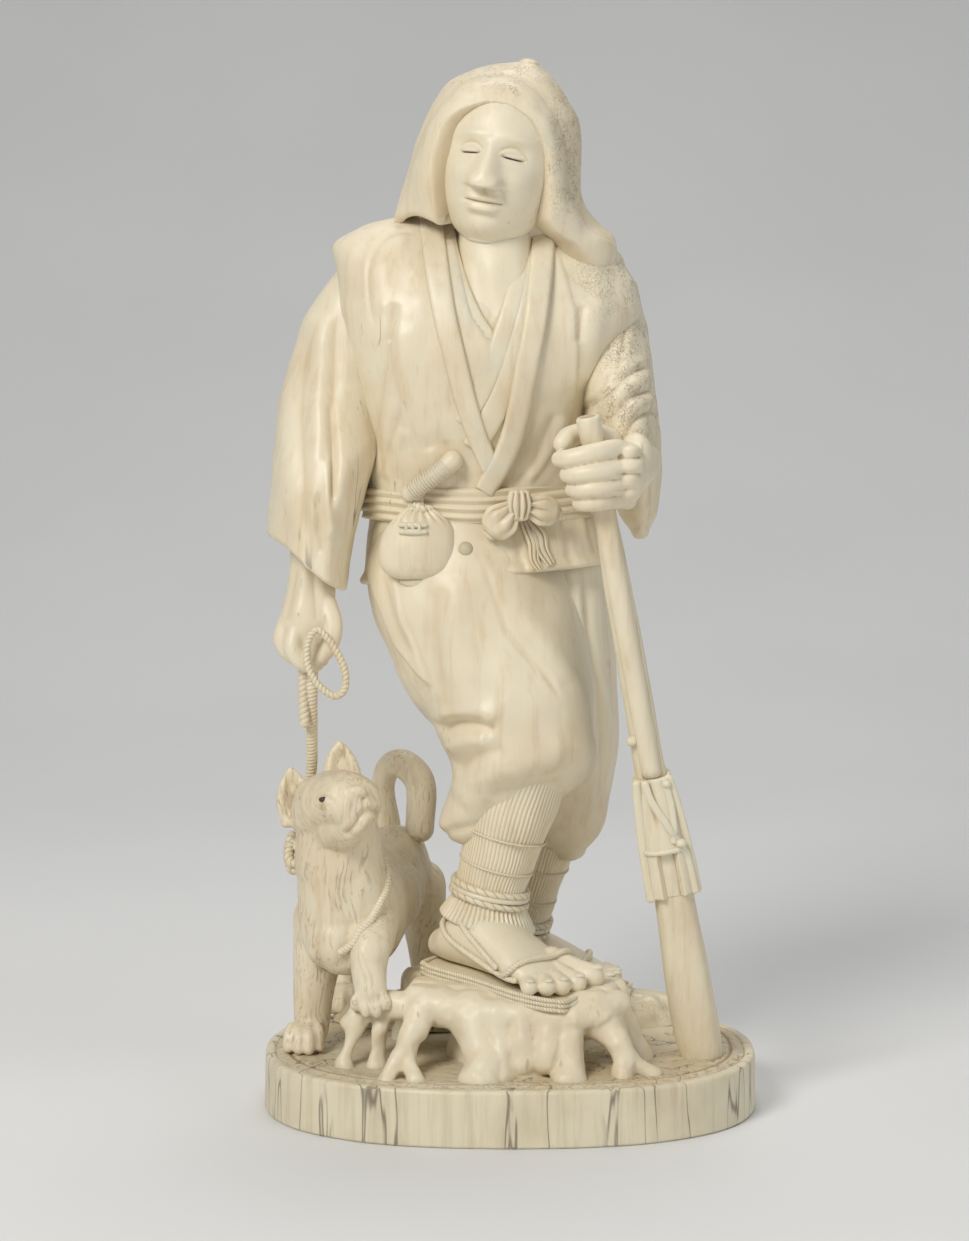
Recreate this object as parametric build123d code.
from build123d import *
import math
import os

# Carved okimono: a hooded hunter leaning on his matchlock, with his dog on a lead.
# Millimetres. +Z up, +X to the viewer's right, +Y away from the viewer.
# The origin is the middle of the plinth's underside.

# Plinth and ground
PLINTH_LENGTH = 133.0
PLINTH_DEPTH = 100.0
PLINTH_HEIGHT = 15.0
PLINTH_TAPER = 0.4
RIM_WIDTH = 3.0
GROUND_THICKNESS = 4.0
GROUND_RISE = 0.5
SLAB_CLEARANCE = 0.1
OVAL_POWER = 2.4
MOUND_LENGTH = 100.0
MOUND_DEPTH = 33.0
MOUND_HEIGHT = 9.0
MOUND_PLACE_Y = 27.0

# Pierced rock under the right foot
ROCK_LENGTH = 66.0
ROCK_DEPTH = 40.0
ROCK_PLATE = 13.0
ROCK_LEG = 9.0
ROCK_ARM = 9.0

# Figure: every landmark is a share of the figure's height above the ground
FIGURE_HEIGHT = 264.5
CHEST_WIDTH = 80.0
CHEST_DEPTH = 48.0
SKIRT_WIDTH = 65.0
SKIRT_DEPTH = 48.0
SASH_HEIGHT = 9.0
SASH_WIDTH = 62.5
SASH_DEPTH = 46.5
HEAD_WIDTH = 30.0
HEAD_DEPTH = 34.0
NECK_WIDTH = 24.0
NECK_DEPTH = 22.0
NOSE_WIDTH = 6.0
NOSE_LENGTH = 12.0
NOSE_DEPTH = 6.5
EAR_HEIGHT = 11.0
EAR_WIDTH = 4.0
EAR_DEPTH = 6.0
EYE_WIDTH = 4.6
EYE_HEIGHT = 2.2
EYE_DEPTH = 2.0
HOOD_WIDTH = 54.0
HOOD_DEPTH = 43.0
HOOD_WALL = 3.0
HOOD_MOUTH_WIDTH = 31.0
HOOD_MOUTH_HEIGHT = 62.0
COLLAR_WIDTH = 7.0
COLLAR_THICKNESS = 4.0
LAPEL_WIDTH = 9.0
LAPEL_THICKNESS = 5.0
RIGHT_SLEEVE_WIDTH = 30.0
RIGHT_SLEEVE_DEPTH = 38.0
LEFT_SLEEVE_WIDTH = 21.0
LEFT_SLEEVE_DEPTH = 46.0
CUFF_WALL = 4.0
CUFF_RECESS = 9.0
ARM_WIDTH = 15.5
ARM_DEPTH = 14.0
RIGHT_FIST_WIDTH = 16.0
RIGHT_FIST_DEPTH = 17.0
LEFT_WRIST_WIDTH = 12.0
LEFT_WRIST_HEIGHT = 15.0
FINGER_WIDTH = 5.0
THUMB_WIDTH = 5.6
RIGHT_LEG_WIDTH = 54.0
RIGHT_LEG_DEPTH = 50.0
LEFT_LEG_WIDTH = 40.0
LEFT_LEG_DEPTH = 46.0
SHIN_WIDTH = 26.0
SHIN_DEPTH = 25.0
LEFT_SHIN_WIDTH = 22.0
TIE_HEIGHT = 2.4
TIE_PROUD = 0.9
FOOT_LENGTH = 45.0
FOOT_WIDTH = 19.0
FOOT_HEIGHT = 17.0
TOE_LENGTH = 9.0
TOE_WIDTH = 4.6
SOLE_LENGTH = 50.0
SOLE_WIDTH = 22.0
SOLE_THICKNESS = 2.6
STRAP_WIDTH = 2.4
STRAP_PROUD = 0.9
PELT_WIDTH = 54.0
PELT_DEPTH = 42.0

# Things at the waist
KNOT_WIDTH = 6.5
KNOT_HEIGHT = 6.0
LOOP_LENGTH = 12.0
LOOP_HEIGHT = 9.0
TAIL_LENGTH = 18.0
TAIL_WIDTH = 4.5
BOW_DEPTH = 8.0
POUCH_WIDTH = 20.0
POUCH_HEIGHT = 18.5
POUCH_DEPTH = 13.0
CLASP_WIDTH = 7.0
CLASP_HEIGHT = 3.2
CLASP_DEPTH = 4.0
CORD_THICKNESS = 2.0
GRIP_THICKNESS = 4.8
GRIP_LENGTH = 17.0
POMMEL_THICKNESS = 5.8
PLUG_THICKNESS = 3.4
PLUG_DEPTH = 5.0

# Matchlock: the butt stands on the ground, the barrel runs up through the left fist
GUN_FOOT_X = 51.2
GUN_FOOT_Y = -9.0
MUZZLE_REACH = 14.0
BUTT_WIDTH = 13.5
BUTT_DEPTH = 18.0
BARREL_THICKNESS = 5.6
BORE = 2.6
FORESTOCK_WIDTH = 7.2
COVER_WIDTH = 13.0
COVER_DEPTH = 15.0
FLAP_LENGTH = 24.0
FLAP_WIDTH = 2.6
FLAP_THICKNESS = 4.6
BAND_HEIGHT = 2.6
BAND_PROUD = 0.8
STUD_THICKNESS = 2.6
STUD_LENGTH = 4.0

# Dog: every landmark is a share of the dog's height above the ground
DOG_X = -42.0
DOG_Y = 4.0
DOG_HEIGHT = 84.0
DOG_BODY_WIDTH = 27.0
DOG_BODY_HEIGHT = 32.0
DOG_NECK_WIDTH = 25.0
DOG_NECK_DEPTH = 25.0
DOG_HEAD_WIDTH = 25.0
DOG_HEAD_HEIGHT = 21.0
SNOUT_WIDTH = 12.5
SNOUT_HEIGHT = 11.0
DOG_EAR_WIDTH = 9.5
DOG_EAR_THICKNESS = 4.5
DOG_LEG_THICKNESS = 12.0
DOG_THIGH_THICKNESS = 17.0
DOG_TAIL_THICKNESS = 8.5
PAW_LENGTH = 13.0
PAW_WIDTH = 10.5
PAW_HEIGHT = 8.0
DOG_EYE = 2.4
HARNESS_THICKNESS = 2.2

# Lead
LEAD_THICKNESS = 2.6
LEAD_LOOP_WIDTH = 8.5
LEAD_LOOP_HEIGHT = 17.0
LEAD_KNOT = 5.5
LEAD_TAIL_LENGTH = 14.0

# Joining dowels
DOWEL = 4.0
DOWEL_LENGTH = 12.0
SMALL_DOWEL = 2.4
SMALL_DOWEL_LENGTH = 7.0
OVERRUN = 1.0
MOST_SECTIONS = 9

BACK = Vector(0, 1, 0)
UP = Vector(0, 0, 1)
RIGHT = Vector(1, 0, 0)
GROUND_Z = PLINTH_HEIGHT + GROUND_RISE

# Landmarks of the figure: across, back, up, each a share of FIGURE_HEIGHT
figure_shares = {
    "torso_low": (-0.034, 0.030, 0.558),
    "torso_high": (-0.019, 0.010, 0.838),
    "skirt_low": (-0.028, 0.026, 0.486),
    "sash_low": (-0.034, 0.030, 0.541),
    "right_hip": (-0.053, 0.030, 0.535),
    "right_knee": (0.008, -0.028, 0.238),
    "left_hip": (0.023, 0.057, 0.535),
    "left_knee": (0.057, 0.064, 0.191),
    "pelt_low": (-0.002, 0.085, 0.440),
    "pelt_high": (-0.026, 0.062, 0.545),
    "right_shin_high": (0.015, -0.034, 0.300),
    "right_ankle": (-0.023, -0.023, 0.134),
    "left_shin_high": (0.049, 0.068, 0.259),
    "left_ankle": (0.001, 0.098, 0.080),
    "right_heel": (-0.068, -0.010, 0.093),
    "right_toes": (0.072, -0.098, 0.076),
    "left_heel": (-0.030, 0.128, 0.043),
    "left_toes": (0.098, 0.070, 0.040),
    "right_shoulder": (-0.157, 0.019, 0.798),
    "right_cuff": (-0.195, 0.004, 0.496),
    "right_elbow": (-0.197, -0.002, 0.545),
    "right_wrist": (-0.197, -0.013, 0.450),
    "right_knuckles": (-0.198, -0.023, 0.392),
    "left_shoulder": (0.100, 0.023, 0.775),
    "left_cuff": (0.125, -0.015, 0.531),
    "left_wrist": (0.120, -0.040, 0.602),
    "left_palm": (0.083, -0.112, 0.599),
    "neck_low": (-0.011, -0.028, 0.715),
    "neck_high": (-0.017, -0.013, 0.850),
    "chin": (-0.026, -0.036, 0.818),
    "crown": (0.006, -0.012, 0.974),
    "hood_low": (-0.018, 0.004, 0.806),
    "hood_high": (0.018, -0.008, 1.000),
}

# Sections of the forms: share along the axis, shift across, shift back, width and depth
torso_shares = [
    (0.00, 0.00, 0.00, 0.72, 0.84),
    (0.18, -0.02, 0.00, 0.73, 0.91),
    (0.36, -0.03, -0.02, 0.76, 0.98),
    (0.54, -0.01, -0.03, 0.87, 1.00),
    (0.72, 0.01, 0.00, 1.00, 0.94),
    (0.81, -0.01, 0.03, 1.00, 0.84),
    (0.89, -0.04, 0.06, 0.98, 0.70),
    (0.96, -0.03, 0.08, 0.80, 0.52),
    (1.00, 0.00, 0.08, 0.56, 0.36),
]
skirt_shares = [
    (0.00, 0.00, 0.00, 1.00, 1.00),
    (0.50, 0.00, 0.00, 0.955, 0.94),
    (1.00, 0.00, 0.00, 0.88, 0.84),
]
sash_shares = [
    (0.00, 0.00, 0.00, 0.98, 0.98),
    (0.30, 0.00, 0.00, 1.00, 1.00),
    (0.70, 0.00, 0.00, 1.00, 1.00),
    (1.00, 0.00, 0.00, 0.97, 0.97),
]
right_leg_shares = [
    (0.00, 0.00, 0.00, 0.90, 0.88),
    (0.12, -0.01, 0.00, 0.97, 0.95),
    (0.26, 0.00, 0.00, 1.00, 1.00),
    (0.40, 0.03, 0.00, 0.97, 1.00),
    (0.53, 0.05, -0.02, 0.91, 0.96),
    (0.66, 0.09, -0.05, 0.80, 0.88),
    (0.80, 0.09, -0.05, 0.72, 0.80),
    (0.91, 0.02, 0.00, 0.74, 0.66),
    (0.97, -0.10, 0.02, 0.58, 0.48),
    (1.00, -0.15, 0.02, 0.42, 0.34),
]
left_leg_shares = [
    (0.00, 0.00, 0.00, 0.94, 0.84),
    (0.12, -0.03, 0.00, 1.00, 0.94),
    (0.25, -0.02, 0.00, 1.00, 1.00),
    (0.40, -0.02, 0.00, 1.00, 0.98),
    (0.55, -0.01, 0.00, 0.96, 0.92),
    (0.70, 0.00, 0.00, 0.88, 0.82),
    (0.85, -0.02, 0.00, 0.75, 0.68),
    (0.95, 0.01, 0.00, 0.52, 0.48),
    (1.00, 0.02, 0.00, 0.26, 0.28),
]
pelt_shares = [
    (0.00, 0.00, 0.00, 0.94, 0.96),
    (0.40, 0.00, 0.00, 1.00, 1.00),
    (1.00, 0.00, 0.00, 0.98, 0.96),
]
right_shin_shares = [
    (0.00, 0.00, 0.00, 1.00, 1.00),
    (0.30, -0.03, 0.02, 0.92, 0.94),
    (0.55, -0.03, 0.02, 0.78, 0.82),
    (0.75, -0.05, 0.00, 0.72, 0.72),
    (0.89, -0.04, 0.00, 0.75, 0.74),
    (1.00, 0.01, 0.00, 0.90, 0.90),
]
left_shin_shares = [
    (0.00, 0.00, 0.00, 0.90, 0.96),
    (0.35, 0.00, 0.02, 0.88, 0.92),
    (0.60, 0.00, 0.02, 0.76, 0.78),
    (0.85, 0.00, 0.00, 0.74, 0.72),
    (1.00, 0.00, 0.00, 0.90, 0.88),
]
head_shares = [
    (0.00, 0.00, 0.00, 0.34, 0.30),
    (0.06, 0.00, 0.00, 0.58, 0.52),
    (0.20, 0.00, 0.00, 0.84, 0.82),
    (0.40, 0.00, 0.00, 0.97, 0.96),
    (0.60, 0.00, 0.00, 1.00, 1.00),
    (0.80, 0.00, 0.00, 0.90, 0.92),
    (0.93, 0.00, 0.00, 0.62, 0.66),
    (1.00, 0.00, 0.00, 0.26, 0.28),
]
neck_shares = [
    (0.00, 0.00, 0.00, 1.00, 1.00),
    (0.50, 0.00, 0.00, 0.86, 0.92),
    (1.00, 0.00, 0.00, 0.76, 0.84),
]
hood_shares = [
    (0.00, 0.02, 0.06, 0.94, 0.86),
    (0.13, 0.00, 0.04, 0.99, 0.94),
    (0.25, -0.03, 0.02, 0.93, 0.98),
    (0.38, -0.05, 0.01, 0.85, 1.00),
    (0.57, -0.06, 0.00, 0.79, 0.97),
    (0.74, -0.06, 0.00, 0.70, 0.88),
    (0.83, -0.07, 0.01, 0.60, 0.76),
    (0.95, -0.04, 0.02, 0.33, 0.46),
    (1.00, 0.00, 0.00, 0.10, 0.14),
]
right_sleeve_shares = [
    (0.00, 0.06, 0.00, 0.30, 0.40),
    (0.12, 0.02, 0.00, 0.62, 0.62),
    (0.28, 0.00, 0.00, 0.88, 0.74),
    (0.47, -0.01, 0.00, 0.98, 0.84),
    (0.65, -0.01, 0.00, 1.00, 0.92),
    (0.82, 0.00, 0.00, 0.98, 1.00),
    (1.00, 0.02, 0.00, 0.94, 1.00),
]
left_sleeve_shares = [
    (0.00, 0.00, 0.04, 0.70, 0.56),
    (0.20, -0.06, 0.02, 0.96, 0.72),
    (0.36, -0.06, 0.00, 0.98, 0.84),
    (0.52, -0.03, -0.01, 0.92, 0.96),
    (0.68, 0.00, -0.02, 0.84, 1.00),
    (0.83, 0.06, -0.02, 0.62, 0.84),
    (0.95, 0.06, -0.02, 0.38, 0.56),
    (1.00, 0.06, -0.02, 0.20, 0.34),
]
foot_shares = [
    (0.00, 0.00, -0.26, 0.46, 0.44),
    (0.12, 0.00, -0.12, 0.74, 0.76),
    (0.32, 0.00, 0.02, 0.84, 1.04),
    (0.55, 0.02, -0.08, 0.90, 0.84),
    (0.75, 0.03, -0.19, 1.00, 0.62),
    (0.90, 0.03, -0.28, 0.96, 0.44),
    (1.00, 0.03, -0.34, 0.78, 0.30),
]
sole_shares = [
    (0.00, 0.00, 0.00, 0.50, 1.00),
    (0.10, 0.00, 0.00, 0.80, 1.00),
    (0.40, 0.00, 0.00, 0.86, 1.00),
    (0.75, 0.03, 0.00, 1.00, 1.00),
    (0.92, 0.03, 0.00, 0.88, 1.00),
    (1.00, 0.03, 0.00, 0.55, 1.00),
]
pad_shares = [
    (0.00, 0.00, 0.00, 0.40, 0.40),
    (0.12, 0.00, 0.00, 0.78, 0.78),
    (0.50, 0.00, 0.00, 1.00, 1.00),
    (0.88, 0.00, 0.00, 0.78, 0.78),
    (1.00, 0.00, 0.00, 0.40, 0.40),
]
pouch_shares = [
    (0.00, 0.00, 0.00, 0.46, 0.40),
    (0.12, 0.00, 0.00, 0.80, 0.76),
    (0.38, 0.00, 0.00, 1.00, 1.00),
    (0.66, 0.02, 0.00, 0.86, 0.86),
    (0.88, 0.02, 0.00, 0.56, 0.60),
    (1.00, 0.00, 0.00, 0.50, 0.56),
]
stock_shares = [
    (0.00, 0.02, -0.02, 0.90, 0.94),
    (0.05, 0.00, 0.00, 1.00, 1.00),
    (0.13, 0.00, 0.00, 0.96, 0.88),
    (0.22, 0.00, 0.00, 0.86, 0.70),
    (0.36, 0.00, 0.00, 0.74, 0.58),
    (0.50, 0.00, 0.00, 0.60, 0.44),
    (0.80, 0.00, 0.00, 0.52, 0.38),
    (1.00, 0.00, 0.00, 0.42, 0.32),
]
cover_shares = [
    (0.00, 0.00, 0.00, 0.98, 1.00),
    (0.50, 0.00, 0.00, 0.92, 0.88),
    (1.00, 0.00, 0.00, 0.80, 0.74),
]
dog_body_shares = [
    (0.00, 0.00, 0.00, 0.50, 0.50),
    (0.08, 0.00, 0.00, 0.82, 0.84),
    (0.26, 0.00, 0.00, 1.00, 1.04),
    (0.50, 0.00, 0.02, 0.90, 0.90),
    (0.74, 0.00, 0.04, 0.88, 0.90),
    (0.92, 0.00, 0.00, 0.74, 0.84),
    (1.00, 0.00, 0.00, 0.44, 0.50),
]
dog_head_shares = [
    (0.00, 0.00, 0.00, 0.44, 0.48),
    (0.15, 0.00, 0.00, 0.82, 0.84),
    (0.45, 0.00, 0.00, 1.00, 1.00),
    (0.78, 0.00, -0.04, 0.82, 0.84),
    (1.00, 0.00, -0.08, 0.48, 0.56),
]
snout_shares = [
    (0.00, 0.00, 0.00, 1.10, 1.10),
    (0.55, 0.00, 0.00, 0.94, 0.92),
    (0.88, 0.00, 0.00, 0.76, 0.72),
    (1.00, 0.00, 0.00, 0.44, 0.42),
]
ear_shares = [
    (0.00, 0.00, 0.00, 1.00, 1.00),
    (0.45, 0.00, 0.00, 0.86, 0.80),
    (0.80, 0.00, 0.00, 0.48, 0.56),
    (1.00, 0.00, 0.00, 0.16, 0.28),
]
mound_shares = [
    (0.00, 0.00, 0.00, 1.00, 1.00),
    (0.50, 0.00, 0.00, 0.95, 0.94),
    (0.88, 0.03, 0.00, 0.84, 0.80),
    (1.00, 0.04, 0.00, 0.72, 0.66),
]
plate_shares = [
    (0.00, 0.00, 0.00, 0.80, 0.72),
    (0.30, 0.00, 0.00, 0.94, 0.90),
    (0.65, -0.02, 0.00, 0.92, 0.92),
    (1.00, -0.04, 0.03, 0.72, 0.84),
]
straight_shares = [
    (0.00, 0.00, 0.00, 1.00, 1.00),
    (1.00, 0.00, 0.00, 1.00, 1.00),
]

# Landmarks of the dog: across, back, up from its place, each a share of DOG_HEIGHT
dog_shares = {
    "chest": (-0.02, -0.19, 0.41),
    "rump": (0.17, 0.42, 0.50),
    "neck_low": (-0.02, -0.12, 0.38),
    "neck_high": (-0.05, -0.13, 0.74),
    "skull_back": (-0.12, -0.04, 0.72),
    "brow": (-0.03, -0.27, 0.85),
    "nose": (0.045, -0.37, 0.87),
    "right_ear_low": (-0.155, -0.13, 0.82),
    "right_ear_tip": (-0.205, -0.11, 0.955),
    "left_ear_low": (0.00, -0.10, 0.87),
    "left_ear_tip": (-0.02, -0.07, 1.01),
    "right_shoulder": (-0.105, -0.08, 0.42),
    "right_fore_knee": (-0.135, -0.08, 0.20),
    "right_fore_wrist": (-0.155, -0.09, 0.065),
    "right_fore_paw": (-0.165, -0.13, 0.030),
    "left_shoulder": (0.06, -0.12, 0.42),
    "left_fore_knee": (0.055, -0.25, 0.36),
    "left_fore_wrist": (0.055, -0.28, 0.265),
    "left_fore_paw": (0.060, -0.31, 0.195),
    "right_thigh": (0.03, 0.33, 0.44),
    "right_hock": (-0.04, 0.40, 0.24),
    "right_hind_wrist": (-0.05, 0.35, 0.10),
    "right_hind_paw": (-0.06, 0.31, 0.055),
    "left_thigh": (0.20, 0.33, 0.44),
    "left_hock": (0.19, 0.40, 0.26),
    "left_hind_wrist": (0.18, 0.34, 0.13),
    "left_hind_paw": (0.165, 0.30, 0.110),
    "tail_root": (0.09, 0.38, 0.64),
    "tail_rise": (0.065, 0.36, 0.80),
    "tail_turn": (0.10, 0.33, 0.90),
    "tail_top": (0.15, 0.31, 0.905),
    "tail_fall": (0.19, 0.28, 0.82),
    "tail_tip": (0.185, 0.26, 0.68),
}

# Toes of a right foot: across, along and size, each a share of the foot's width, length, toe
toe_shares = [
    (0.32, 0.00, 1.25),
    (0.12, 0.04, 1.00),
    (-0.06, 0.00, 0.95),
    (-0.23, -0.06, 0.90),
    (-0.38, -0.13, 0.85),
]
# Legs of the rock: top across and back, foot across and back, size
rock_leg_shares = [
    (0.10, -0.10, 0.10, -0.22, 2.2),
    (-0.30, -0.25, -0.42, -0.45, 1.0),
    (-0.12, -0.35, -0.11, -0.55, 1.0),
    (0.30, -0.35, 0.40, -0.55, 1.1),
    (0.36, -0.10, 0.47, -0.30, 0.9),
    (-0.28, 0.25, -0.32, 0.38, 1.1),
    (0.26, 0.25, 0.30, 0.38, 1.1),
]
rock_shift_shares = (-0.02, -0.08)
arm_root_shares = (-0.34, -0.10)
arm_elbow_shares = (-0.07, -0.12)
# Ties, straps, collars and small places: shares along a form, with turns in degrees round it
tie_shares = (0.58, 0.74, 0.83)
strap_shares = (0.60, 0.78)
collar_shares = [
    [(0.97, 235), (0.86, 252), (0.66, 268)],
    [(0.97, 312), (0.86, 290), (0.66, 272)],
]
lapel_shares = [
    [(0.97, 222), (0.80, 240), (0.50, 254), (0.10, 268)],
    [(0.97, 318), (0.80, 300), (0.50, 285), (0.10, 270)],
]
nose_shares = (0.52, 0.33)
ear_place_shares = (0.33, 0.55)
eye_place_share = 0.52
eye_turns = (248, 292)
hood_mouth_share = 0.10
bell_shares = hood_shares[:4] + [(0.50, -0.055, 0.00, 0.60, 0.70)]
fist_shares = [
    (0.00, 0.00, 0.00, 0.82, 0.72),
    (0.30, 0.00, -0.02, 0.96, 0.92),
    (0.60, -0.03, -0.04, 1.00, 1.00),
    (0.85, 0.00, -0.05, 0.84, 0.86),
    (1.00, 0.02, -0.05, 0.50, 0.55),
]
# Fingers round the barrel: steps up the gun and reach across it, in finger widths
finger_shares = [(1.5, 1.6), (0.5, 1.7), (-0.5, 1.6), (-1.5, 1.4)]
knot_turn = 291
loop_shares = [(-0.90, 0.65), (0.85, 0.15)]
loop_form_shares = [
    (0.00, 0.00, 0.00, 0.50, 0.35),
    (0.30, 0.00, 0.00, 0.90, 0.80),
    (0.70, 0.00, 0.00, 1.00, 1.00),
    (1.00, 0.00, 0.00, 0.50, 0.45),
]
tail_shares = [(-0.1, 292), (0.6, 299)]
skirt_tail_share = 0.12
pouch_place_shares = (0.90, 239)
clasp_share = 0.80
cord_turn = 235
grip_turn = 238
grip_way_shares = (0.65, -0.30, 0.72)
plug_place_shares = (0.35, 263)
breech_share = 0.45
cover_place_shares = (0.264, 0.444)
band_share = 0.42
flap_turns = (205, 335)
flap_share = 0.98
stud_share = 0.53
stud_turn = 215
dog_neck_shares = [
    (0.00, 0.00, 0.00, 1.05, 0.90),
    (0.40, 0.00, 0.00, 1.00, 1.00),
    (0.75, 0.00, 0.00, 0.90, 0.86),
    (1.00, 0.00, 0.00, 0.80, 0.70),
]
fore_leg_shares = (1.15, 0.85, 0.72, 0.80)
raised_leg_shares = (1.10, 0.80, 0.68, 0.75)
hind_leg_shares = (1.50, 0.80, 0.65, 0.75)
tail_size_shares = (0.90, 0.88, 0.80, 0.80, 0.82, 0.60)
paw_joint_share = 0.70
dog_eye_share = 0.80
dog_eye_turns = (125, 55)
harness_share = 0.42
harness_line_shares = [(0.45, 320), (0.25, 300), (0.05, 280)]
knot_side_turn = 195
loop_lean_shares = (0.34, 0.00, -0.94)
knee_joint_share = 0.36
hip_peg_shares = (-0.20, 0.27)
shoulder_peg_share = 0.60
ground_peg_shares = (-0.30, 0.30)


def figure(name):
    """The place of one of the figure's landmarks."""
    across, back, up = figure_shares[name]
    return Vector(0, 0, GROUND_Z) + Vector(across, back, up) * FIGURE_HEIGHT


def dog(name):
    """The place of one of the dog's landmarks."""
    across, back, up = dog_shares[name]
    return Vector(DOG_X, DOG_Y, GROUND_Z) + Vector(across, back, up) * DOG_HEIGHT


def between(first, second, share):
    """The point at a share of the way from one point to another."""
    return first + (second - first) * share


def oval(plane, width, depth, power=2.0, points=8):
    """A closed smooth outline, an ellipse at power 2 and squarer above it."""
    outline = []
    for index in range(points):
        turn = 2 * math.pi * index / points
        across, back = math.cos(turn), math.sin(turn)
        outline.append(plane.from_local_coords(Vector(
            width / 2 * math.copysign(abs(across) ** (2 / power), across),
            depth / 2 * math.copysign(abs(back) ** (2 / power), back),
            0,
        )))
    return Wire([Edge.make_spline(outline, periodic=True)])


class Form:
    """A carved mass: ovals of changing size lofted along a straight axis."""

    def __init__(self, start, end, width, depth, shares, side=RIGHT, back=BACK, power=2.0, points=4):
        self.start, self.end = Vector(start), Vector(end)
        self.width, self.depth, self.shares = width, depth, shares
        self.power, self.points = power, points
        self.axis = (self.end - self.start).normalized()
        self.length = (self.end - self.start).length
        self.across = (side - self.axis * side.dot(self.axis)).normalized()
        level = back - self.axis * back.dot(self.axis)
        self.back = (level - self.across * level.dot(self.across)).normalized()

    def centre(self, row):
        """The middle of one section."""
        shift = self.across * (row[1] * self.width) + self.back * (row[2] * self.depth)
        return self.start + self.axis * (row[0] * self.length) + shift

    def row_at(self, along):
        """The section at any share of the axis, by straight interpolation."""
        for low, high in zip(self.shares, self.shares[1:]):
            if along <= high[0]:
                break
        part = (along - low[0]) / (high[0] - low[0])
        return tuple(a + (b - a) * part for a, b in zip(low, high))

    def point(self, along, turn, out=0):
        """A point on the skin: turn 0 is across, 90 back, 270 front."""
        row = self.row_at(along)
        angle = math.radians(turn)
        across = (self.width / 2 * row[3] + out) * math.cos(angle)
        back = (self.depth / 2 * row[4] + out) * math.sin(angle)
        return self.centre(row) + self.across * across + self.back * back

    def lofted(self, rows, proud):
        """A loft through chosen sections, each larger all round by a proud height."""
        sections = []
        for row in rows:
            plane = Plane(origin=self.centre(row), x_dir=self.across, z_dir=self.across.cross(self.back))
            sections.append(oval(plane, self.width * row[3] + 2 * proud,
                                 self.depth * row[4] + 2 * proud, self.power, self.points))
        return Solid.make_loft(sections)

    def band(self, low, high, proud):
        """A short ring-like form that stands proud of this one all round."""
        return self.lofted([self.row_at(low), self.row_at(high)], proud)

    def solid(self, wall=0):
        """The whole mass, thinner all round by a wall where one is given."""
        count = max(2, min(len(self.shares), MOST_SECTIONS))
        steps = [(1 - math.cos(math.pi * index / (count - 1))) / 2 for index in range(count)]
        return self.lofted([self.row_at(step) for step in steps], -wall)


def limb(places, sizes, flat=1.0, side=RIGHT):
    """A mass lofted through ovals set square to a bent line of places."""
    sections = []
    for index, (place, size) in enumerate(zip(places, sizes)):
        before = places[max(index - 1, 0)]
        after = places[min(index + 1, len(places) - 1)]
        way = (after - before).normalized()
        across = (side - way * side.dot(way)).normalized()
        sections.append(oval(Plane(origin=place, x_dir=across, z_dir=way), size, size * flat))
    return Solid.make_loft(sections)


def whole(shape):
    """The one largest solid of a result."""
    return max(shape.solids(), key=lambda solid: solid.volume)


def joined(first, *others):
    """Masses carved from one block."""
    result = first
    for other in others:
        result = whole(result + other)
    return result


def fitted(piece, *neighbours):
    """A piece cut back to lie face to face against its neighbours."""
    result = piece
    for neighbour in neighbours:
        result = whole(result - neighbour)
    return result


def dowel(middle, way, thickness, length):
    """A round joining peg, half in each of its two pieces."""
    way = Vector(way).normalized()
    plane = Plane(origin=Vector(middle) - way * (length / 2), z_dir=way)
    return Solid.make_cylinder(thickness / 2, length, plane)


def group(*solids):
    """Separate solids that share one node."""
    return Compound(children=list(solids))


pieces = {}


# Plinth, ground slab and the mound behind the feet
def base():
    low = oval(Plane.XY, PLINTH_LENGTH, PLINTH_DEPTH, OVAL_POWER, 24)
    high = oval(Plane.XY.offset(PLINTH_HEIGHT), PLINTH_LENGTH - 2 * PLINTH_TAPER,
                PLINTH_DEPTH - 2 * PLINTH_TAPER, OVAL_POWER, 24)
    slab_length = PLINTH_LENGTH - 2 * PLINTH_TAPER - 2 * RIM_WIDTH
    slab_depth = PLINTH_DEPTH - 2 * PLINTH_TAPER - 2 * RIM_WIDTH
    seat_z = GROUND_Z - GROUND_THICKNESS
    seat = oval(Plane.XY.offset(seat_z), slab_length + 2 * SLAB_CLEARANCE,
                slab_depth + 2 * SLAB_CLEARANCE, OVAL_POWER, 24)
    recess = Solid.extrude(Face(seat), UP * (GROUND_THICKNESS + OVERRUN))
    slab = oval(Plane.XY.offset(seat_z), slab_length, slab_depth, OVAL_POWER, 24)
    pieces["plinth"] = whole(Solid.make_loft([low, high]) - recess)
    pieces["ground_slab"] = Solid.extrude(Face(slab), UP * GROUND_THICKNESS)
    mound = Form((0, MOUND_PLACE_Y, GROUND_Z), (0, MOUND_PLACE_Y, GROUND_Z + MOUND_HEIGHT),
                 MOUND_LENGTH, MOUND_DEPTH, mound_shares)
    pieces["rear_mound"] = mound.solid()


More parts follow.
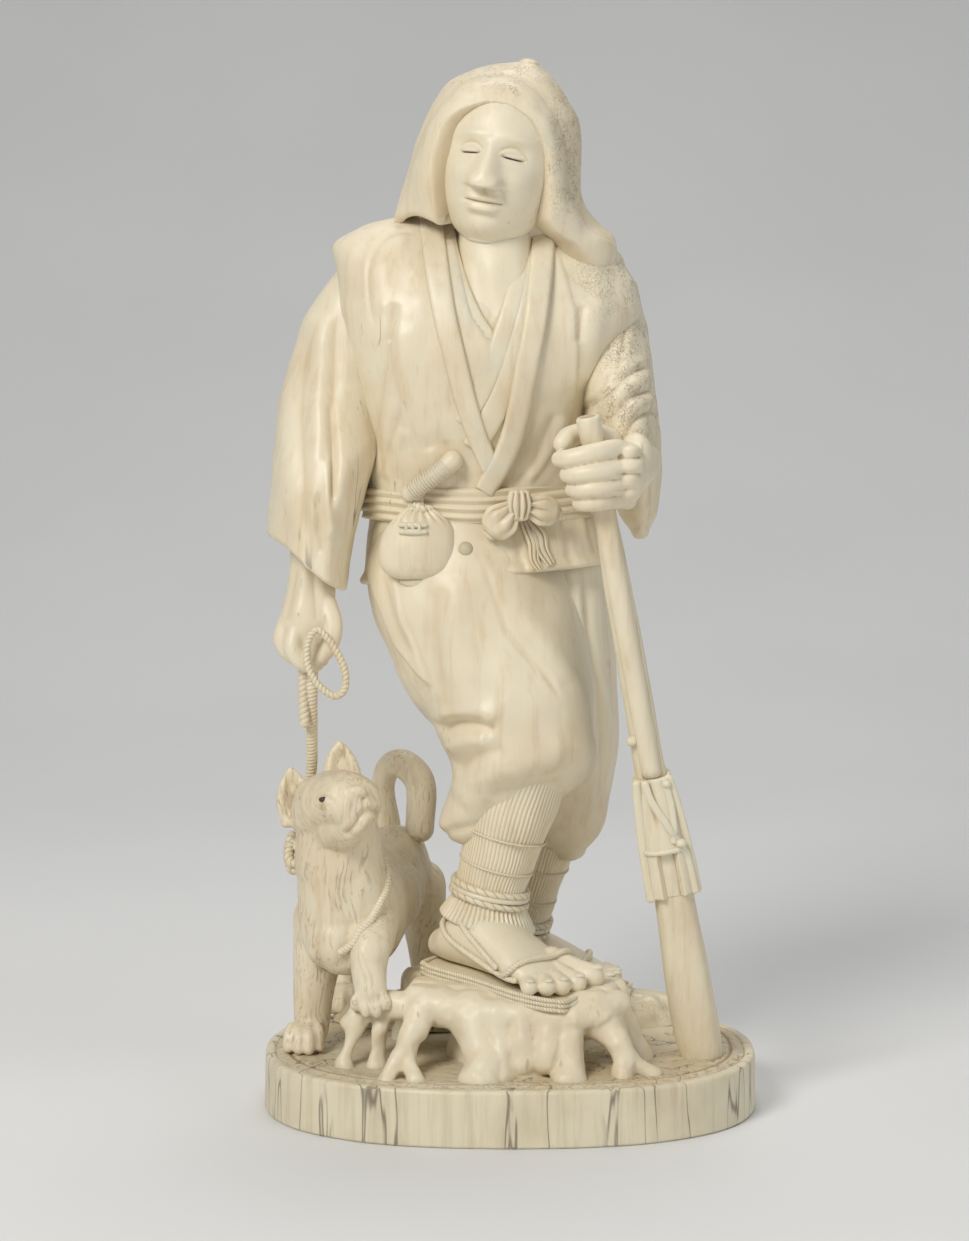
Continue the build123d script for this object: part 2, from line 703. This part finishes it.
# Feet with their straw sandals
def foot(side):
    heel, toes = figure(side + "_heel"), figure(side + "_toes")
    way = (toes - heel).normalized()
    middle = between(heel, toes, 0.5)
    lift = UP * (FOOT_HEIGHT / 2)
    mass = Form(middle - way * (FOOT_LENGTH / 2) + lift, middle + way * (FOOT_LENGTH / 2) + lift,
                FOOT_WIDTH, FOOT_HEIGHT, foot_shares, back=UP)
    parts = [mass.solid()]
    flip = 1 if side == "right" else -1
    for across, along, size in toe_shares:
        root = middle + way * (FOOT_LENGTH * (0.40 + along)) + mass.across * (flip * across * FOOT_WIDTH)
        tip = root + way * TOE_LENGTH
        rise = UP * (TOE_WIDTH * size / 2)
        parts.append(limb([root + rise, between(root, tip, 0.5) + rise, between(root, tip, 0.85) + rise,
                           tip + rise],
                          [TOE_WIDTH * size, TOE_WIDTH * size * 1.05, TOE_WIDTH * size * 0.85,
                           TOE_WIDTH * size * 0.4]))
    drop = UP * (-SOLE_THICKNESS / 2)
    sole = Form(middle - way * (SOLE_LENGTH / 2) + drop, middle + way * (SOLE_LENGTH / 2) + drop,
                SOLE_WIDTH, SOLE_THICKNESS, sole_shares, back=UP, power=5.0, points=16)
    sandal = sole.solid()
    carved = fitted(joined(*parts), sandal)
    straps = [mass.band(low, low + STRAP_WIDTH / FOOT_LENGTH, STRAP_PROUD) for low in strap_shares]
    pieces[side + "_foot"] = carved
    pieces[side + "_sandal"] = sandal
    pieces[side + "_sandal_straps"] = group(*[fitted(strap, carved, sandal) for strap in straps])


# The pierced rock: a hollowed plate on carved legs, with an arm for the dog's paw
def rock():
    middle = between(figure("right_heel"), figure("right_toes"), 0.5)
    middle += Vector(rock_shift_shares[0] * ROCK_LENGTH, rock_shift_shares[1] * ROCK_DEPTH, 0)
    top = middle + UP * (SOLE_THICKNESS / 2)
    under = top - UP * ROCK_PLATE
    plate = Form(under, top, ROCK_LENGTH, ROCK_DEPTH, plate_shares, power=2.6, points=12)
    legs = []
    for head_across, head_back, foot_across, foot_back, size in rock_leg_shares:
        head = under + Vector(head_across * ROCK_LENGTH, head_back * ROCK_DEPTH, ROCK_PLATE / 2)
        toe = under + Vector(foot_across * ROCK_LENGTH, foot_back * ROCK_DEPTH, 0)
        toe = Vector(toe.X, toe.Y, GROUND_Z - GROUND_THICKNESS / 2)
        thickness = ROCK_LEG * size
        waist = between(head, toe, 0.55)
        legs.append(limb([head, waist, toe], [thickness * 1.5, thickness, thickness * 1.4]))
    paw = dog("left_fore_paw")
    rest = paw - UP * (PAW_HEIGHT / 2 + ROCK_ARM / 2 - OVERRUN)
    root = under + Vector(arm_root_shares[0] * ROCK_LENGTH, arm_root_shares[1] * ROCK_DEPTH, ROCK_PLATE / 2)
    elbow = rest + Vector(arm_elbow_shares[0] * ROCK_LENGTH, arm_elbow_shares[1] * ROCK_DEPTH, 0)
    stand = Vector(elbow.X, elbow.Y, GROUND_Z - GROUND_THICKNESS / 2)
    arm = limb([root, between(root, rest, 0.6), rest, elbow], [ROCK_ARM * 1.4, ROCK_ARM, ROCK_ARM, ROCK_ARM * 0.7])
    leg = limb([rest, between(rest, stand, 0.5), stand], [ROCK_ARM, ROCK_ARM * 0.7, ROCK_ARM * 0.9])
    mass = joined(plate.solid(), *legs, arm, leg)
    pieces["pierced_rock"] = fitted(mass, pieces["right_sandal"], pieces["ground_slab"])


# Trousers, gaiters and their ties
def legs():
    right_leg = Form(figure("right_hip"), figure("right_knee"), RIGHT_LEG_WIDTH, RIGHT_LEG_DEPTH,
                     right_leg_shares)
    left_leg = Form(figure("left_hip"), figure("left_knee"), LEFT_LEG_WIDTH, LEFT_LEG_DEPTH,
                    left_leg_shares)
    pieces["right_trouser_leg"] = fitted(right_leg.solid(), pieces["jacket_skirt"])
    pieces["left_trouser_leg"] = fitted(left_leg.solid(), pieces["jacket_skirt"],
                                        pieces["right_trouser_leg"])
    pelt = Form(figure("pelt_low"), figure("pelt_high"), PELT_WIDTH, PELT_DEPTH, pelt_shares)
    pieces["seat_pelt"] = fitted(pelt.solid(), pieces["jacket_skirt"], pieces["sash"],
                                 pieces["right_trouser_leg"], pieces["left_trouser_leg"])
    shins = {
        "right": Form(figure("right_shin_high"), figure("right_ankle"), SHIN_WIDTH, SHIN_DEPTH,
                      right_shin_shares),
        "left": Form(figure("left_shin_high"), figure("left_ankle"), LEFT_SHIN_WIDTH, SHIN_DEPTH,
                     left_shin_shares),
    }
    for side, shin in shins.items():
        solid = shin.solid()
        gaiter = fitted(solid, pieces["right_trouser_leg"], pieces["left_trouser_leg"])
        if side == "left":
            gaiter = fitted(gaiter, pieces["right_gaiter"], pieces["right_foot"])
        ties = []
        for low in tie_shares:
            band = shin.band(low, low + TIE_HEIGHT / shin.length, TIE_PROUD)
            ties.append(fitted(band, gaiter))
        pieces[side + "_gaiter"] = gaiter
        pieces[side + "_gaiter_ties"] = group(*ties)
        pieces[side + "_foot"] = fitted(pieces[side + "_foot"], gaiter)
        loose = [fitted(strap, gaiter) for strap in pieces[side + "_sandal_straps"].solids()]
        pieces[side + "_sandal_straps"] = group(*loose)
    return shins


# Body: vest, skirt of the jacket and the sash round their joint
def body():
    head = pieces["head"]
    torso = Form(figure("torso_low"), figure("torso_high"), CHEST_WIDTH, CHEST_DEPTH, torso_shares)
    skirt = Form(figure("skirt_low"), figure("torso_low"), SKIRT_WIDTH, SKIRT_DEPTH, skirt_shares)
    pieces["jacket_skirt"] = skirt.solid()
    pieces["vest_body"] = fitted(torso.solid(), head, pieces["jacket_skirt"])
    high = figure("sash_low") + UP * SASH_HEIGHT
    sash = Form(figure("sash_low"), high, SASH_WIDTH, SASH_DEPTH, sash_shares)
    pieces["sash"] = fitted(sash.solid(), pieces["vest_body"], pieces["jacket_skirt"])
    return torso, skirt, sash


# Collars: flat bands that lie on the chest and meet in a V
def collars(torso):
    vest = pieces["vest_body"]
    for name, width, thickness, table in (
            ("collar", COLLAR_WIDTH, COLLAR_THICKNESS, collar_shares),
            ("lapels", LAPEL_WIDTH, LAPEL_THICKNESS, lapel_shares)):
        sides = []
        for places in table:
            line = [torso.point(along, turn) for along, turn in places]
            sides.append(limb(line, [width] * len(line), thickness / width))
        band = fitted(joined(*sides), vest, pieces["head"])
        if name == "lapels":
            band = fitted(band, pieces["collar"], pieces["sash"])
        pieces[name] = band


# Head with the neck, nose and ears of one block, and the inlaid eyes
def head():
    skull = Form(figure("chin"), figure("crown"), HEAD_WIDTH, HEAD_DEPTH, head_shares)
    neck = Form(figure("neck_low"), figure("neck_high"), NECK_WIDTH, NECK_DEPTH, neck_shares)
    bridge = skull.point(nose_shares[0], 270)
    tip = skull.point(nose_shares[1], 270, NOSE_DEPTH / 4)
    nose = limb([bridge, between(bridge, tip, 0.5), tip],
                [NOSE_WIDTH * 0.6, NOSE_WIDTH * 0.8, NOSE_WIDTH])
    ears = []
    for turn in (180, 0):
        low = skull.point(ear_place_shares[0], turn)
        high = skull.point(ear_place_shares[1], turn)
        ears.append(limb([low, between(low, high, 0.5), high],
                         [EAR_WIDTH * 0.8, EAR_WIDTH, EAR_WIDTH * 0.9], EAR_DEPTH / EAR_WIDTH))
    eyes = []
    for turn in eye_turns:
        seat = skull.point(eye_place_share, turn)
        half = RIGHT * (EYE_WIDTH / 2)
        eyes.append(Form(seat - half, seat + half, EYE_DEPTH, EYE_HEIGHT, pad_shares, side=BACK, back=UP).solid())
    mass = joined(skull.solid(), neck.solid(), nose, *ears)
    for eye in eyes:
        mass = fitted(mass, eye)
    pieces["head"] = mass
    pieces["eye_inlays"] = group(*eyes)


# Hood: a turned shell open at the face
def hood():
    cap = Form(figure("hood_low"), figure("hood_high"), HOOD_WIDTH, HOOD_DEPTH, hood_shares)
    low = figure("hood_low")
    bell = Form(low - UP * OVERRUN, figure("hood_high"), HOOD_WIDTH, HOOD_DEPTH, bell_shares)
    face = between(figure("chin"), figure("crown"), hood_mouth_share)
    mouth = Form(face - BACK * HOOD_DEPTH, face, HOOD_MOUTH_WIDTH, HOOD_MOUTH_HEIGHT,
                 straight_shares, back=UP)
    shell = fitted(cap.solid(), bell.solid(HOOD_WALL), mouth.solid(), pieces["head"])
    pieces["hood"] = fitted(shell, pieces["vest_body"], pieces["lapels"], pieces["collar"])


# Sleeves with a recess at the cuff, and the hands that come out of them
def arms():
    vest, skirt, sash = pieces["vest_body"], pieces["jacket_skirt"], pieces["sash"]
    right = Form(figure("right_shoulder"), figure("right_cuff"), RIGHT_SLEEVE_WIDTH,
                 RIGHT_SLEEVE_DEPTH, right_sleeve_shares)
    left = Form(figure("left_shoulder"), figure("left_cuff"), LEFT_SLEEVE_WIDTH,
                LEFT_SLEEVE_DEPTH, left_sleeve_shares)
    inner = 1 - CUFF_RECESS / right.length
    mouth_low = right.centre(right.row_at(inner))
    mouth_high = right.end + right.axis * OVERRUN
    last = right.shares[-1]
    cuff = Form(mouth_low, mouth_high, RIGHT_SLEEVE_WIDTH * last[3] - 2 * CUFF_WALL,
                RIGHT_SLEEVE_DEPTH * last[4] - 2 * CUFF_WALL, straight_shares)
    pieces["right_sleeve"] = fitted(right.solid(), cuff.solid(), vest, skirt, sash,
                                    pieces["right_trouser_leg"])
    elbow, wrist, knuckles = figure("right_elbow"), figure("right_wrist"), figure("right_knuckles")
    forearm = limb([elbow, between(elbow, wrist, 0.5), wrist, between(wrist, knuckles, 0.35)],
                   [ARM_WIDTH, ARM_WIDTH * 0.88, ARM_WIDTH * 0.8, ARM_WIDTH * 0.9], ARM_DEPTH / ARM_WIDTH)
    fist = Form(wrist, knuckles, RIGHT_FIST_WIDTH, RIGHT_FIST_DEPTH, fist_shares)
    pieces["right_hand"] = fitted(joined(forearm, fist.solid()), pieces["right_sleeve"], vest)
    wrist, palm = figure("left_wrist"), figure("left_palm")
    inside = wrist - (palm - wrist).normalized() * CUFF_RECESS
    opening = Form(wrist, between(wrist, palm, 0.9), LEFT_WRIST_WIDTH + CUFF_WALL / 2,
                   LEFT_WRIST_HEIGHT + CUFF_WALL, straight_shares, back=UP)
    pieces["left_sleeve"] = fitted(left.solid(), opening.solid(), vest, skirt, sash,
                                   pieces["left_trouser_leg"], pieces["gun_barrel"], pieces["gun_stock"])
    back_of_hand = limb([inside, wrist, between(wrist, palm, 0.55), palm],
                        [LEFT_WRIST_WIDTH, LEFT_WRIST_WIDTH, LEFT_WRIST_WIDTH * 1.1, LEFT_WRIST_WIDTH],
                        LEFT_WRIST_HEIGHT / LEFT_WRIST_WIDTH)
    fingers = []
    gun_way = gun_axis()
    for step, reach in finger_shares:
        knuckle = palm + gun_way * (step * FINGER_WIDTH) + RIGHT * (FINGER_WIDTH * 1.2)
        front = palm + gun_way * (step * FINGER_WIDTH) - BACK * (FINGER_WIDTH * 1.35)
        tip = palm + gun_way * (step * FINGER_WIDTH) - RIGHT * (FINGER_WIDTH * reach)
        fingers.append(limb([knuckle + BACK * FINGER_WIDTH, knuckle - BACK * (FINGER_WIDTH * 0.8), front,
                             tip - BACK * (FINGER_WIDTH * 0.7)],
                            [FINGER_WIDTH * 1.05, FINGER_WIDTH * 1.1, FINGER_WIDTH, FINGER_WIDTH * 0.8],
                            side=UP))
    thumb = limb([palm - RIGHT * (THUMB_WIDTH * 0.6) + BACK * (THUMB_WIDTH * 0.5),
                  palm - RIGHT * (THUMB_WIDTH * 1.3) + gun_way * THUMB_WIDTH,
                  palm - RIGHT * (THUMB_WIDTH * 1.2) + gun_way * (THUMB_WIDTH * 2)],
                 [THUMB_WIDTH, THUMB_WIDTH, THUMB_WIDTH * 0.6])
    pieces["left_hand"] = fitted(joined(back_of_hand, *fingers, thumb), pieces["gun_barrel"],
                                 pieces["gun_stock"], pieces["left_sleeve"], vest)


# Things at the waist: bow, pouch, cord, knife grip and the plug in the skirt
def waist(torso, skirt, sash):
    under = [sash.solid(), skirt.solid(), torso.solid()]
    seat = sash.point(0.5, knot_turn, BOW_DEPTH / 5)
    knot = Form(seat - UP * (KNOT_HEIGHT / 2), seat + UP * (KNOT_HEIGHT / 2), KNOT_WIDTH, BOW_DEPTH,
                pad_shares, points=8).solid()
    bow = [knot]
    for way, drop in loop_shares:
        start = seat
        end = seat + RIGHT * (way * LOOP_LENGTH) - UP * (drop * LOOP_HEIGHT)
        loop = Form(start, end, BOW_DEPTH, LOOP_HEIGHT, loop_form_shares,
                    side=BACK, back=UP, points=8).solid()
        bow.append(loop)
    pieces["sash_bow"] = fitted(joined(*bow), *under)
    tails = []
    for way, turn in tail_shares:
        low = skirt.point(skirt_tail_share, turn, TAIL_WIDTH / 4)
        high = seat + RIGHT * (way * TAIL_WIDTH)
        tails.append(limb([high, between(high, low, 0.5), low], [TAIL_WIDTH, TAIL_WIDTH, TAIL_WIDTH],
                          0.55))
    pieces["sash_tails"] = fitted(joined(*tails), *under, pieces["sash_bow"],
                                  pieces["right_trouser_leg"])
    hang = skirt.point(pouch_place_shares[0], pouch_place_shares[1])
    pouch = Form(hang - UP * POUCH_HEIGHT, hang, POUCH_WIDTH, POUCH_DEPTH, pouch_shares)
    pieces["pouch"] = fitted(pouch.solid(), *under, pieces["right_trouser_leg"])
    clasp_seat = pouch.point(clasp_share, 270)
    half = RIGHT * (CLASP_WIDTH / 2)
    clasp = Form(clasp_seat - half, clasp_seat + half, CLASP_DEPTH, CLASP_HEIGHT, pad_shares,
                 side=BACK, back=UP)
    pieces["pouch_clasp"] = fitted(clasp.solid(), pieces["pouch"])
    top = sash.point(1.0, cord_turn, CORD_THICKNESS / 2)
    bottom = pouch.point(0.95, 270)
    over = sash.point(0.5, cord_turn, CORD_THICKNESS / 2)
    cord = limb([top, over, bottom], [CORD_THICKNESS, CORD_THICKNESS, CORD_THICKNESS])
    pieces["pouch_cord"] = fitted(cord, *under, pieces["pouch"])
    root = sash.point(0.8, grip_turn)
    way = Vector(*grip_way_shares).normalized()
    grip = limb([root, root + way * (GRIP_LENGTH * 0.7), root + way * GRIP_LENGTH],
                [GRIP_THICKNESS, GRIP_THICKNESS, POMMEL_THICKNESS])
    pieces["knife_grip"] = fitted(grip, *under, pieces["pouch_cord"])
    spot = skirt.point(plug_place_shares[0], plug_place_shares[1])
    inward = (skirt.centre(skirt.row_at(plug_place_shares[0])) - spot).normalized()
    plug = Solid.make_cylinder(PLUG_THICKNESS / 2, PLUG_DEPTH, Plane(origin=spot, z_dir=inward))
    pieces["jacket_skirt"] = fitted(pieces["jacket_skirt"], plug)
    pieces["jacket_plug"] = plug


def gun_foot():
    """Where the middle of the butt meets the ground."""
    return Vector(GUN_FOOT_X, GUN_FOOT_Y, GROUND_Z)


def gun_axis():
    """The way up the gun, from its butt to the left palm."""
    return (figure("left_palm") - gun_foot()).normalized()


# The matchlock: stock, bored barrel, wrapped lock cover with its ties, and a stud
def gun():
    way, foot = gun_axis(), gun_foot()
    muzzle = figure("left_palm") + way * MUZZLE_REACH
    length = (muzzle - foot).length
    front = (way * way.dot(BACK) - BACK).normalized()
    barrel_shift = front * (FORESTOCK_WIDTH / 2 - BARREL_THICKNESS / 4)
    stock = Form(foot - way * (GROUND_THICKNESS / 2), muzzle - way * (MUZZLE_REACH * 0.5), BUTT_WIDTH,
                 BUTT_DEPTH, stock_shares)
    breech = foot + way * (length * breech_share) + barrel_shift
    tube = Solid.make_cylinder(BARREL_THICKNESS / 2, (muzzle - foot).length * (1 - breech_share),
                               Plane(origin=breech, z_dir=way))
    bore = Solid.make_cylinder(BORE / 2, MUZZLE_REACH,
                               Plane(origin=muzzle + barrel_shift - way * (MUZZLE_REACH - OVERRUN),
                                     z_dir=way))
    pieces["gun_barrel"] = whole(tube - bore)
    pieces["gun_stock"] = fitted(stock.solid(), tube, pieces["ground_slab"])
    low, high = foot + way * (length * cover_place_shares[0]), foot + way * (length * cover_place_shares[1])
    cover = Form(low, high, COVER_WIDTH, COVER_DEPTH, cover_shares, power=2.6, points=8)
    wrap = cover.solid()
    pieces["lock_cover"] = fitted(wrap, pieces["gun_stock"], pieces["gun_barrel"])
    ties = [fitted(cover.band(band_share, band_share + BAND_HEIGHT / cover.length, BAND_PROUD), wrap,
                   pieces["gun_stock"], pieces["gun_barrel"])]
    for turn in flap_turns:
        high_end = cover.point(flap_share, turn)
        low_end = high_end - way * FLAP_LENGTH
        flap = Form(low_end, high_end, FLAP_WIDTH, FLAP_THICKNESS, pad_shares, power=3.0, points=8)
        ties.append(fitted(flap.solid(), wrap, ties[0], pieces["gun_stock"]))
    pieces["cover_ties"] = group(*ties)
    spot = stock.point(stud_share, stud_turn)
    outward = (spot - stock.centre(stock.row_at(stud_share))).normalized()
    stud = dowel(spot, outward, STUD_THICKNESS, STUD_LENGTH)
    pieces["gun_stock"] = fitted(pieces["gun_stock"], stud)
    pieces["stock_stud"] = fitted(stud, pieces["gun_barrel"])


# The dog: body and legs of one block, head, tail, eyes and harness
def hound():
    trunk = Form(dog("chest"), dog("rump"), DOG_BODY_WIDTH, DOG_BODY_HEIGHT, dog_body_shares,
                 back=UP, points=8)
    neck = Form(dog("neck_low"), dog("neck_high"), DOG_NECK_WIDTH, DOG_NECK_DEPTH,
                dog_neck_shares, points=8)
    parts = [trunk.solid(), neck.solid()]
    for side, end, sizes in (
            ("right", "fore", fore_leg_shares), ("left", "fore", raised_leg_shares),
            ("right", "hind", hind_leg_shares), ("left", "hind", hind_leg_shares)):
        joints = ("shoulder", "fore_knee", "fore_wrist") if end == "fore" else ("thigh", "hock", "hind_wrist")
        line = [dog(side + "_" + joint) for joint in joints]
        paw = dog(side + "_" + end + "_paw")
        parts.append(limb(line + [between(line[-1], paw, paw_joint_share)],
                          [size * DOG_LEG_THICKNESS for size in sizes]))
        ahead = paw - line[-1]
        ahead = Vector(ahead.X, ahead.Y, 0).normalized()
        if end + side == "foreleft":
            ahead = (paw - line[-1]).normalized()
        parts.append(Form(paw - ahead * (PAW_LENGTH / 2), paw + ahead * (PAW_LENGTH / 2),
                          PAW_WIDTH, PAW_HEIGHT, pad_shares, back=UP, points=8).solid())
    mass = joined(*parts)
    mass = fitted(mass, pieces["ground_slab"], pieces["rear_mound"], pieces["pierced_rock"])
    pieces["dog_body"] = mass
    skull = Form(dog("skull_back"), dog("brow"), DOG_HEAD_WIDTH, DOG_HEAD_HEIGHT, dog_head_shares, back=UP)
    snout_root = between(dog("skull_back"), dog("brow"), 0.8)
    snout = Form(snout_root, dog("nose"), SNOUT_WIDTH, SNOUT_HEIGHT, snout_shares, back=UP)
    head_parts = [skull.solid(), snout.solid()]
    for side in ("right", "left"):
        head_parts.append(Form(dog(side + "_ear_low"), dog(side + "_ear_tip"), DOG_EAR_WIDTH,
                               DOG_EAR_THICKNESS, ear_shares).solid())
    eyes = []
    for turn in dog_eye_turns:
        seat = skull.point(dog_eye_share, turn)
        half = skull.across * (DOG_EYE / 2)
        eyes.append(Form(seat - half, seat + half, DOG_EYE, DOG_EYE, pad_shares, side=BACK, back=UP).solid())
    face = joined(*head_parts)
    for eye in eyes:
        face = fitted(face, eye)
    pieces["dog_head"] = fitted(face, mass)
    pieces["dog_eyes"] = group(*eyes)
    line = [dog("tail_" + name) for name in ("root", "rise", "turn", "top", "fall", "tip")]
    tail = limb(line, [size * DOG_TAIL_THICKNESS for size in tail_size_shares], side=BACK)
    pieces["dog_tail"] = fitted(tail, mass)
    collar = neck.band(harness_share, harness_share + HARNESS_THICKNESS / neck.length,
                       HARNESS_THICKNESS / 2)
    strap = limb([neck.point(along, turn) for along, turn in harness_line_shares],
                 [HARNESS_THICKNESS * 1.6] * len(harness_line_shares))
    pieces["dog_harness"] = fitted(joined(collar, strap), mass, pieces["dog_head"])
    return neck


# The lead: a loop in the right hand, the taut run to the harness, a tail and a knot
def lead(neck):
    hand = figure("right_knuckles")
    hook = neck.point(harness_share, knot_side_turn, LEAD_KNOT / 3)
    knot = Form(hook - UP * (LEAD_KNOT * 0.7), hook + UP * (LEAD_KNOT * 0.7), LEAD_KNOT, LEAD_KNOT,
                pad_shares).solid()
    pieces["lead_knot"] = fitted(knot, pieces["dog_body"], pieces["dog_head"], pieces["dog_harness"])
    behind = between(hand, hook, 0.6) + BACK * (DOG_EAR_WIDTH * 0.7)
    run = limb([hand + UP * LEAD_KNOT, between(hand, behind, 0.5), behind, hook],
               [LEAD_THICKNESS] * 4)
    pieces["lead"] = fitted(run, pieces["right_hand"], pieces["lead_knot"], pieces["dog_head"],
                            pieces["dog_body"], pieces["dog_harness"])
    start = hand - RIGHT * LEAD_THICKNESS + UP * LEAD_THICKNESS
    tail = limb([start, start - UP * LEAD_TAIL_LENGTH], [LEAD_THICKNESS, LEAD_THICKNESS * 1.2])
    pieces["lead_tail"] = fitted(tail, pieces["right_hand"], pieces["lead"])
    centre = hand + Vector(LEAD_LOOP_WIDTH * 0.35, -RIGHT_FIST_DEPTH * 0.42, LEAD_LOOP_HEIGHT * 0.15)
    plane = Plane(origin=centre, x_dir=Vector(*loop_lean_shares), z_dir=-BACK)
    straight = LEAD_LOOP_HEIGHT - LEAD_LOOP_WIDTH
    half = LEAD_LOOP_WIDTH / 2
    corner = [plane.from_local_coords(Vector(x, y, 0)) for x, y in
              ((straight / 2, -half), (straight / 2, half), (-straight / 2, half), (-straight / 2, -half))]
    ends = [plane.from_local_coords(Vector(x, 0, 0)) for x in
            (straight / 2 + half, -straight / 2 - half)]
    path = Wire([Edge.make_three_point_arc(corner[0], ends[0], corner[1]),
                 Edge.make_line(corner[1], corner[2]),
                 Edge.make_three_point_arc(corner[2], ends[1], corner[3]),
                 Edge.make_line(corner[3], corner[0])])
    section = Plane(origin=corner[0], z_dir=corner[3] - corner[0]) * Circle(LEAD_THICKNESS / 2)
    loop = whole(sweep(section, path))
    pieces["lead_loop"] = fitted(loop, pieces["right_hand"], pieces["lead"], pieces["lead_tail"])


# Joining pegs: each is let into the pieces on both sides of a joint
def pegs(torso, shins):
    def peg(name, *places):
        solids = []
        for middle, way, thickness, length, *neighbours in places:
            solid = dowel(middle, way, thickness, length)
            for neighbour in neighbours:
                pieces[neighbour] = fitted(pieces[neighbour], solid)
            solids.append(solid)
        pieces[name] = group(*solids) if len(solids) > 1 else solids[0]

    peg("neck_peg", (figure("neck_low"), UP, DOWEL, DOWEL_LENGTH, "head", "vest_body"))
    peg("waist_peg", (figure("torso_low"), UP, DOWEL, DOWEL_LENGTH, "vest_body", "jacket_skirt"))
    hips = [figure("skirt_low") + RIGHT * (share * SKIRT_WIDTH) for share in hip_peg_shares]
    peg("hip_pegs", (hips[0], UP, DOWEL, DOWEL_LENGTH, "jacket_skirt", "right_trouser_leg"),
        (hips[1], UP, DOWEL, DOWEL_LENGTH, "jacket_skirt", "left_trouser_leg"))
    peg("shoulder_pegs",
        (torso.point(shoulder_peg_share, 180), RIGHT, DOWEL, DOWEL_LENGTH, "vest_body", "right_sleeve"),
        (torso.point(shoulder_peg_share, 0), RIGHT, SMALL_DOWEL, SMALL_DOWEL_LENGTH, "vest_body",
         "left_sleeve"))
    palm_way = figure("left_palm") - figure("left_wrist")
    peg("wrist_pegs",
        (figure("right_elbow"), figure("right_wrist") - figure("right_elbow"), DOWEL, DOWEL_LENGTH,
         "right_sleeve", "right_hand"),
        (figure("left_wrist"), palm_way, DOWEL, DOWEL_LENGTH, "left_sleeve", "left_hand"))
    for name, share, above, below in (
            ("shin_pegs", knee_joint_share, "_trouser_leg", "_gaiter"),
            ("ankle_pegs", 1.0, "_gaiter", "_foot")):
        peg(name, *[(shin.centre(shin.row_at(share)), shin.axis, DOWEL, DOWEL_LENGTH, side + above,
                     side + below) for side, shin in shins.items()])
    soles = {side: between(figure(side + "_heel"), figure(side + "_toes"), 0.5) for side in shins}
    peg("sole_pegs",
        (soles["right"], UP, DOWEL, DOWEL_LENGTH, "right_foot", "right_sandal", "pierced_rock"),
        (soles["left"], UP, SMALL_DOWEL, SMALL_DOWEL_LENGTH, "left_foot", "left_sandal", "rear_mound"))
    paw = dog("right_fore_paw")
    peg("dog_pegs",
        (Vector(paw.X, paw.Y, GROUND_Z), UP, SMALL_DOWEL, SMALL_DOWEL_LENGTH, "dog_body", "ground_slab"),
        (dog("tail_root"), UP, SMALL_DOWEL, SMALL_DOWEL_LENGTH, "dog_body", "dog_tail"),
        (dog("neck_high"), UP, DOWEL, DOWEL_LENGTH, "dog_body", "dog_head"))
    seat_z = GROUND_Z - GROUND_THICKNESS
    peg("ground_pegs",
        (gun_foot(), UP, SMALL_DOWEL, SMALL_DOWEL_LENGTH, "gun_stock", "ground_slab"),
        *[(Vector(share * PLINTH_LENGTH, 0, seat_z), UP, SMALL_DOWEL, SMALL_DOWEL_LENGTH, "ground_slab",
           "plinth") for share in ground_peg_shares])


def build():
    base()
    foot("right")
    foot("left")
    rock()
    gun()
    head()
    torso, skirt, sash = body()
    collars(torso)
    hood()
    shins = legs()
    arms()
    waist(torso, skirt, sash)
    neck = hound()
    lead(neck)
    pegs(torso, shins)


build()
os.makedirs("parts", exist_ok=True)
for name, piece in pieces.items():
    export_step(piece, "parts/" + name + ".step")
